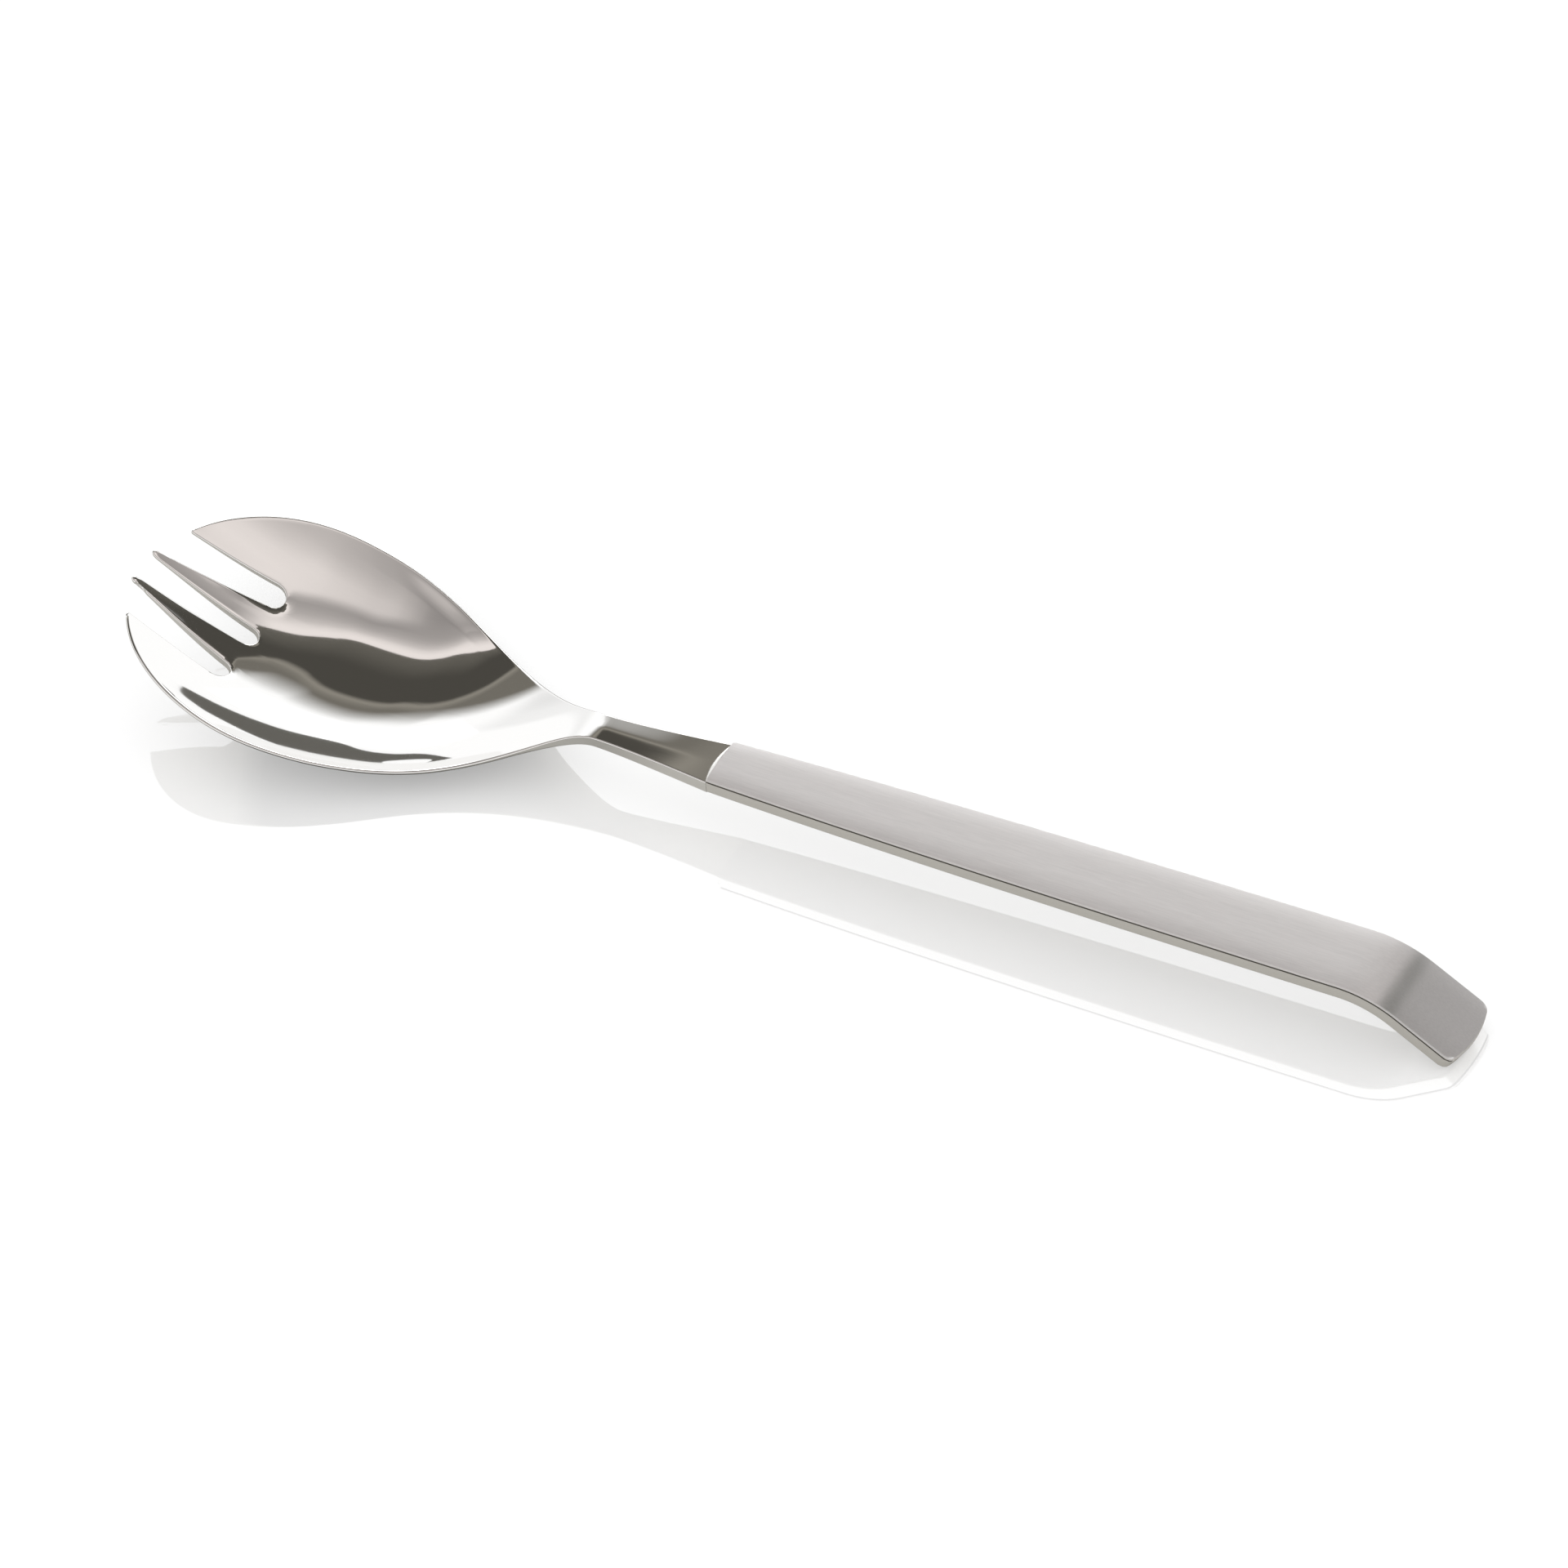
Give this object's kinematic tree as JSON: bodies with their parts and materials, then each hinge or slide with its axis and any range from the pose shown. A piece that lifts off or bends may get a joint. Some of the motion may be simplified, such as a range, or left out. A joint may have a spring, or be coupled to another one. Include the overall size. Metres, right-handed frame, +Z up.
{
  "type": "salad fork",
  "caption": "Salad serving fork with a shallow egg-shaped bowl cut into tines, a slim polished neck and a flat satin handle that bends down at its end.",
  "frame": {"origin": "on the table under the middle of the fork", "axes": "+X from the tines towards the end of the handle, +Z up out of the bowl, +Y across, with the fork symmetric about Y = 0"},
  "size_m": [0.2511, 0.051, 0.0175],
  "materials": {
    "polished_steel": "mirror-polished solid stainless steel, not plated",
    "brushed_steel": "stainless steel, satin-brushed along the handle",
    "silver_solder": "silver solder, polished where it shows",
    "handle_filler": "set mineral-filled resin, as poured"
  },
  "bodies": {
    "root": {"fork_head": "polished_steel", "handle_lower_shell": "brushed_steel", "handle_upper_shell": "brushed_steel", "neck_solder": "silver_solder", "seam_solder": "silver_solder", "handle_core": "handle_filler"}
  },
  "joints": []
}
